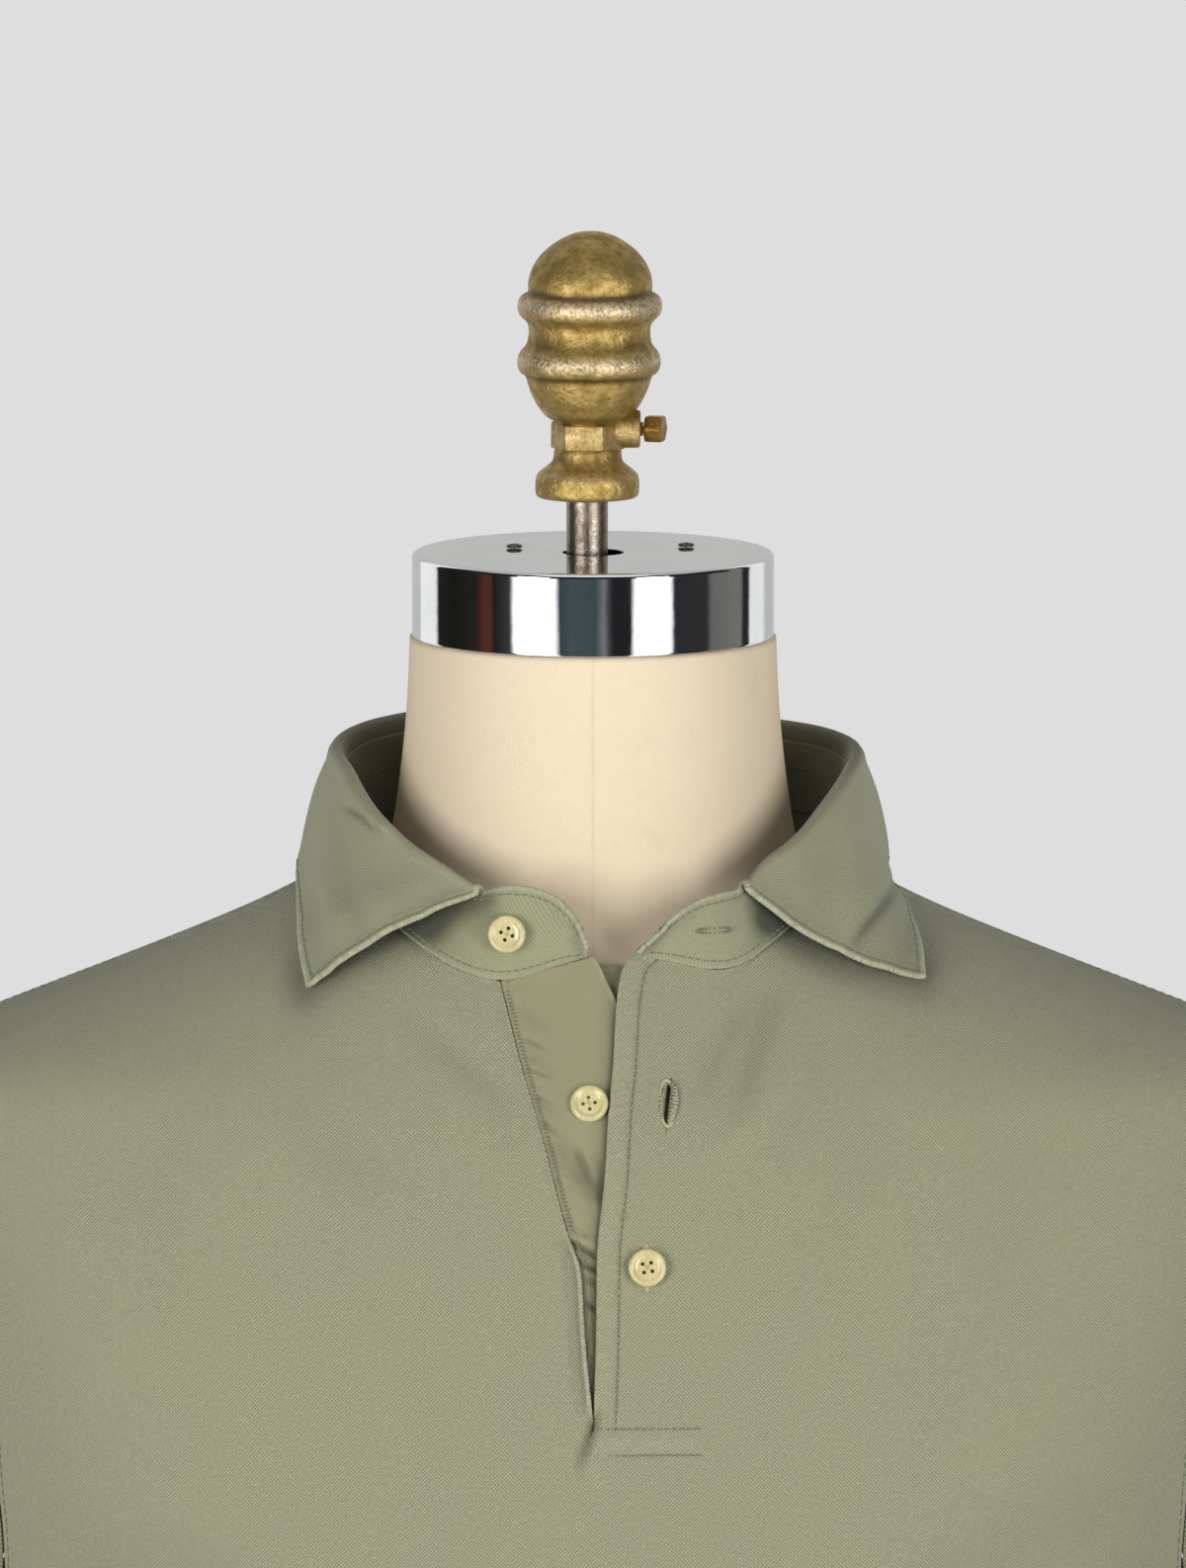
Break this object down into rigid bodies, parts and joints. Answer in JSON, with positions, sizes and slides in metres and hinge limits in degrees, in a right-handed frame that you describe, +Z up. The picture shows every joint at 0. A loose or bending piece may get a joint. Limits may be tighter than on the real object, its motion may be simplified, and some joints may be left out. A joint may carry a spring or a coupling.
{
  "type": "polo shirt on a limbless dress form",
  "caption": "Short-sleeved pique polo shirt with an open placket and spread collar, on a canvas dress form with a chrome neck cap, finial and round base.",
  "frame": {"origin": "under the middle of the round base, on the surface it stands on", "axes": "+Z up, the front of the shirt faces -Y, +X is the viewer's right when looking at the front"},
  "size_m": [0.6594, 0.35, 1.1212],
  "materials": {
    "pique": "matte sage green cotton pique knit",
    "collar_cloth": "matte sage green, paler along rubbed edges",
    "placket_cloth": "matte smooth jersey, slightly browner",
    "button_shell": "pale yellow shell, glossy",
    "canvas": "cream canvas",
    "chrome": "mirror",
    "steel": "worn",
    "aged_brass": "aged, cast",
    "base_paint": "satin black"
  },
  "bodies": {
    "root": {"front_panel": "pique", "back_panel": "pique", "sleeve_left": "pique", "sleeve_right": "pique", "collar_band": "collar_cloth", "collar_leaf": "collar_cloth", "placket_under": "placket_cloth", "button_band": "button_shell", "button_placket_under": "button_shell", "button_placket_over": "button_shell", "form_torso": "canvas", "neck_cap": "chrome", "cap_screw_left": "steel", "cap_screw_right": "steel", "rod": "steel", "finial": "aged_brass", "set_screw": "aged_brass", "pole": "steel", "base": "base_paint"}
  },
  "joints": []
}
